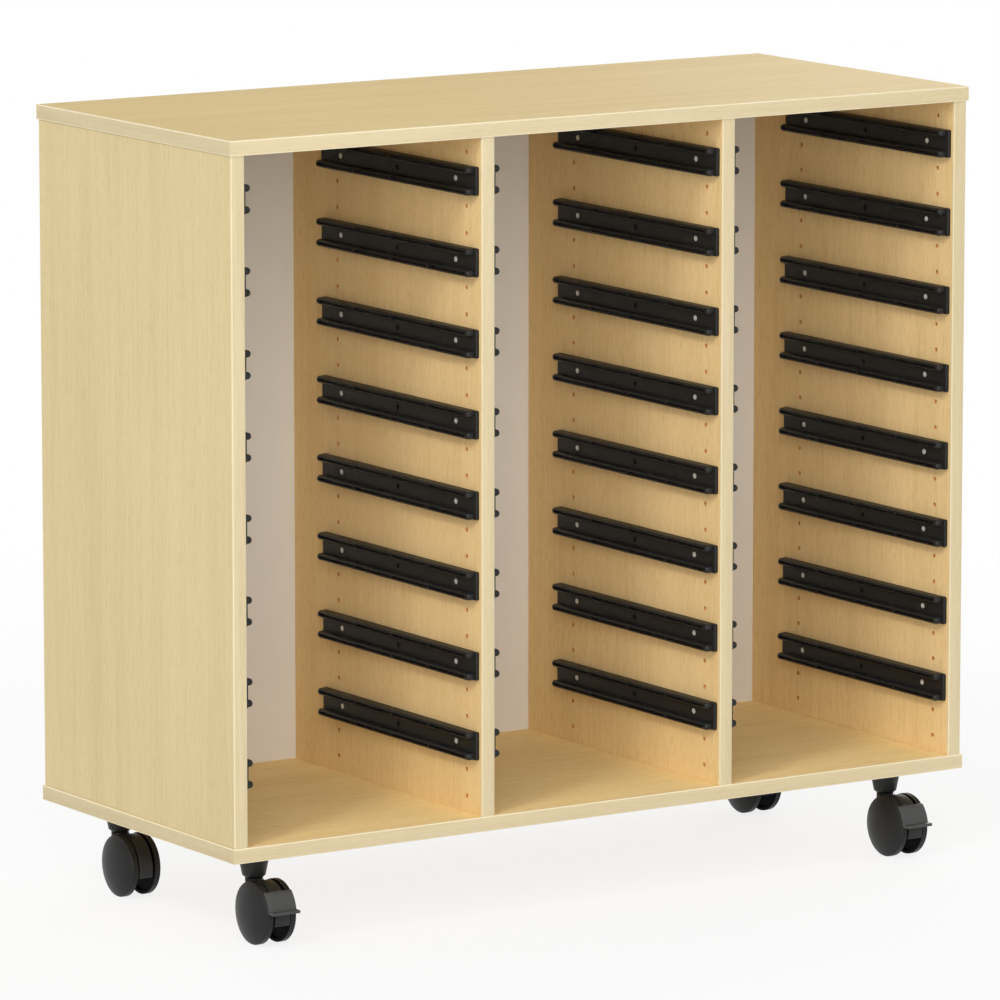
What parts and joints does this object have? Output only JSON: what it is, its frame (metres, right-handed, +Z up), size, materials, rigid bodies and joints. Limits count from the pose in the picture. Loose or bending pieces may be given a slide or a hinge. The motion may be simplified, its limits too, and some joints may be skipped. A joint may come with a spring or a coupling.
{
  "type": "modular storage unit",
  "caption": "Open-fronted mobile storage unit with drilled uprights and paired channel runners for pull-out trays, on braked and plain twin-wheel castors.",
  "frame": {"origin": "middle of the unit's footprint on the floor", "axes": "+X to the right as seen from the open front, +Y to the back, +Z up"},
  "size_m": [1.045, 0.4543, 0.952],
  "materials": {
    "board": "satin maple laminate",
    "edging": "satin edging",
    "white_back": "matt white board",
    "runner_plastic": "moulded, satin",
    "castor_plastic": "moulded, satin",
    "wheel_plastic": "moulded, satin",
    "steel": "bright"
  },
  "bodies": {
    "carcass": {"top_panel": "board", "base_panel": "board", "left_side_panel": "board", "right_side_panel": "board", "left_divider": "board", "right_divider": "board", "back_panel": "white_back", "top_edging": "edging", "base_edging": "edging", "upright_edging": "edging", "castor_sockets": "castor_plastic", "castor_stems": "steel", "bay_1_runners_level_1": "runner_plastic", "bay_1_runners_level_2": "runner_plastic", "bay_1_runners_level_3": "runner_plastic", "bay_1_runners_level_4": "runner_plastic", "bay_1_runners_level_5": "runner_plastic", "bay_1_runners_level_6": "runner_plastic", "bay_1_runners_level_7": "runner_plastic", "bay_1_runners_level_8": "runner_plastic", "bay_2_runners_level_1": "runner_plastic", "bay_2_runners_level_2": "runner_plastic", "bay_2_runners_level_3": "runner_plastic", "bay_2_runners_level_4": "runner_plastic", "bay_2_runners_level_5": "runner_plastic", "bay_2_runners_level_6": "runner_plastic", "bay_2_runners_level_7": "runner_plastic", "bay_2_runners_level_8": "runner_plastic", "bay_3_runners_level_1": "runner_plastic", "bay_3_runners_level_2": "runner_plastic", "bay_3_runners_level_3": "runner_plastic", "bay_3_runners_level_4": "runner_plastic", "bay_3_runners_level_5": "runner_plastic", "bay_3_runners_level_6": "runner_plastic", "bay_3_runners_level_7": "runner_plastic", "bay_3_runners_level_8": "runner_plastic"},
    "front_left_castor": {"front_left_castor_housing": "castor_plastic", "front_left_castor_axle": "steel"},
    "front_left_left_wheel": {"front_left_castor_left_wheel": "wheel_plastic"},
    "front_left_right_wheel": {"front_left_castor_right_wheel": "wheel_plastic"},
    "front_left_brake_pedal": {"front_left_brake_pedal": "castor_plastic"},
    "front_right_castor": {"front_right_castor_housing": "castor_plastic", "front_right_castor_axle": "steel"},
    "front_right_left_wheel": {"front_right_castor_left_wheel": "wheel_plastic"},
    "front_right_right_wheel": {"front_right_castor_right_wheel": "wheel_plastic"},
    "front_right_brake_pedal": {"front_right_brake_pedal": "castor_plastic"},
    "rear_left_castor": {"rear_left_castor_housing": "castor_plastic", "rear_left_castor_axle": "steel"},
    "rear_left_left_wheel": {"rear_left_castor_left_wheel": "wheel_plastic"},
    "rear_left_right_wheel": {"rear_left_castor_right_wheel": "wheel_plastic"},
    "rear_right_castor": {"rear_right_castor_housing": "castor_plastic", "rear_right_castor_axle": "steel"},
    "rear_right_left_wheel": {"rear_right_castor_left_wheel": "wheel_plastic"},
    "rear_right_right_wheel": {"rear_right_castor_right_wheel": "wheel_plastic"}
  },
  "joints": [
    {"name": "front_left_swivel", "type": "hinge", "parent": "carcass", "child": "front_left_castor", "pos_m": [-0.455, -0.156, 0.07], "axis": [0, 0, 1], "continuous": true},
    {"name": "front_left_left_roll", "type": "hinge", "parent": "front_left_castor", "child": "front_left_left_wheel", "pos_m": [-0.455, -0.182, 0.0375], "axis": [1, 0, 0], "continuous": true},
    {"name": "front_left_right_roll", "type": "hinge", "parent": "front_left_castor", "child": "front_left_right_wheel", "pos_m": [-0.455, -0.182, 0.0375], "axis": [1, 0, 0], "continuous": true},
    {"name": "front_left_brake", "type": "hinge", "parent": "front_left_castor", "child": "front_left_brake_pedal", "pos_m": [-0.455, -0.182, 0.0375], "axis": [1, 0, 0], "range_deg": [0, 15]},
    {"name": "front_right_swivel", "type": "hinge", "parent": "carcass", "child": "front_right_castor", "pos_m": [0.455, -0.156, 0.07], "axis": [0, 0, 1], "continuous": true},
    {"name": "front_right_left_roll", "type": "hinge", "parent": "front_right_castor", "child": "front_right_left_wheel", "pos_m": [0.455, -0.182, 0.0375], "axis": [1, 0, 0], "continuous": true},
    {"name": "front_right_right_roll", "type": "hinge", "parent": "front_right_castor", "child": "front_right_right_wheel", "pos_m": [0.455, -0.182, 0.0375], "axis": [1, 0, 0], "continuous": true},
    {"name": "front_right_brake", "type": "hinge", "parent": "front_right_castor", "child": "front_right_brake_pedal", "pos_m": [0.455, -0.182, 0.0375], "axis": [1, 0, 0], "range_deg": [0, 15]},
    {"name": "rear_left_swivel", "type": "hinge", "parent": "carcass", "child": "rear_left_castor", "pos_m": [-0.455, 0.156, 0.07], "axis": [0, 0, 1], "continuous": true},
    {"name": "rear_left_left_roll", "type": "hinge", "parent": "rear_left_castor", "child": "rear_left_left_wheel", "pos_m": [-0.455, 0.13, 0.0375], "axis": [1, 0, 0], "continuous": true},
    {"name": "rear_left_right_roll", "type": "hinge", "parent": "rear_left_castor", "child": "rear_left_right_wheel", "pos_m": [-0.455, 0.13, 0.0375], "axis": [1, 0, 0], "continuous": true},
    {"name": "rear_right_swivel", "type": "hinge", "parent": "carcass", "child": "rear_right_castor", "pos_m": [0.455, 0.156, 0.07], "axis": [0, 0, 1], "continuous": true},
    {"name": "rear_right_left_roll", "type": "hinge", "parent": "rear_right_castor", "child": "rear_right_left_wheel", "pos_m": [0.455, 0.13, 0.0375], "axis": [1, 0, 0], "continuous": true},
    {"name": "rear_right_right_roll", "type": "hinge", "parent": "rear_right_castor", "child": "rear_right_right_wheel", "pos_m": [0.455, 0.13, 0.0375], "axis": [1, 0, 0], "continuous": true}
  ]
}
